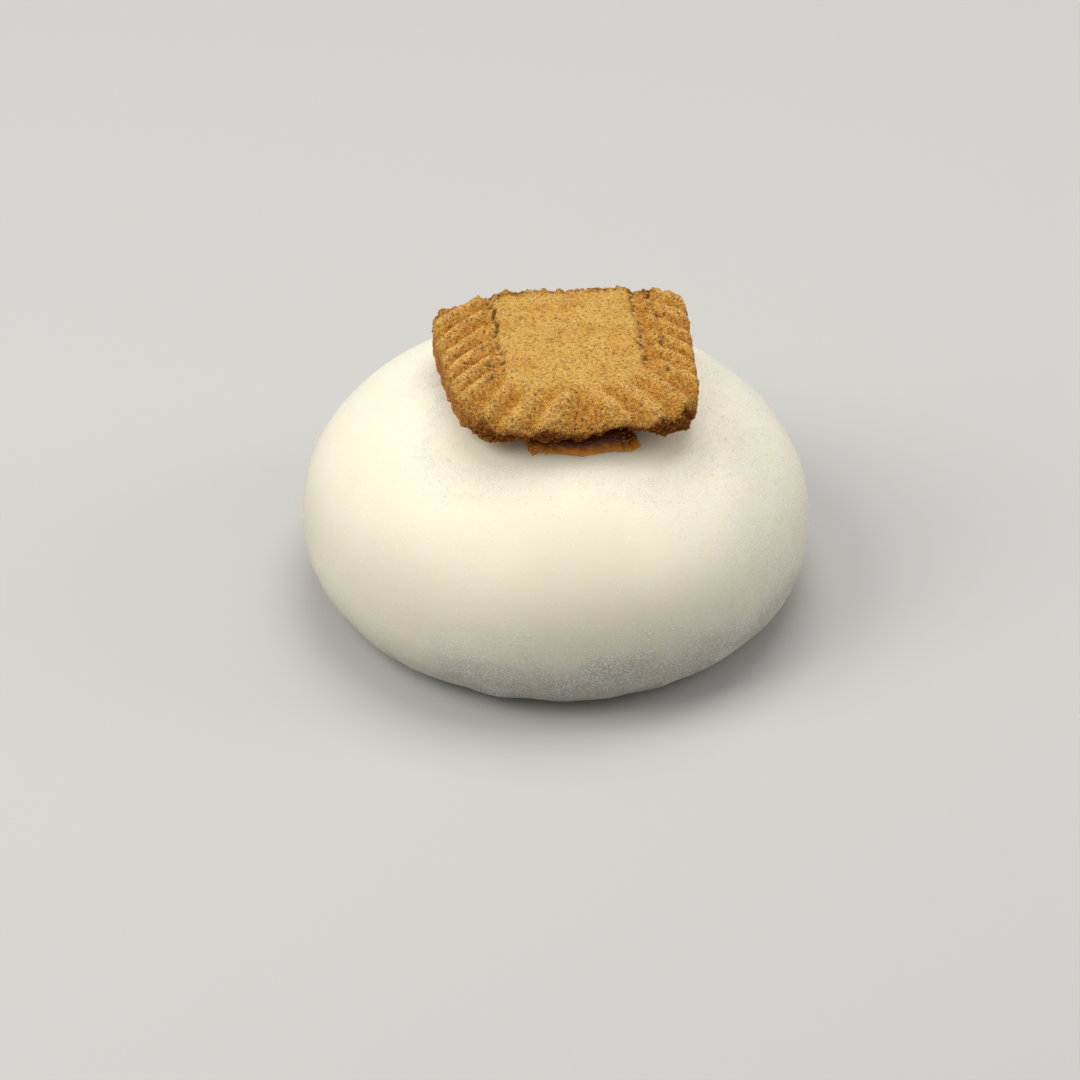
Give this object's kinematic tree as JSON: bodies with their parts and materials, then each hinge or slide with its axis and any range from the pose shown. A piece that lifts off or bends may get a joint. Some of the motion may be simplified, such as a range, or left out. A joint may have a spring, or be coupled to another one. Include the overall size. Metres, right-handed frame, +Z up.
{
  "type": "mochi rice cake",
  "caption": "Slumped white rice cake dusted with starch, with a half spiced biscuit stuck level on its top by a smear of caramel.",
  "frame": {"origin": "middle of the flat base that the rice cake rests on, midway in its bounding box", "axes": "+Z up; -Y is the front, where the caramel shows under the biscuit's whole end; +X to the right seen from the front"},
  "size_m": [0.064, 0.064, 0.0358],
  "materials": {
    "rice_dough": "translucent creamy white dough, satin, dusted with fine starch that lies thicker round the foot, the right side and the biscuit",
    "caramel": "glossy translucent amber, darker where it is thick",
    "spiced_biscuit": "dry, fine-grained golden brown crumb with dark specks, rough where it has broken"
  },
  "bodies": {
    "root": {"mochi": "rice_dough", "caramel": "caramel", "biscuit": "spiced_biscuit"}
  },
  "joints": []
}
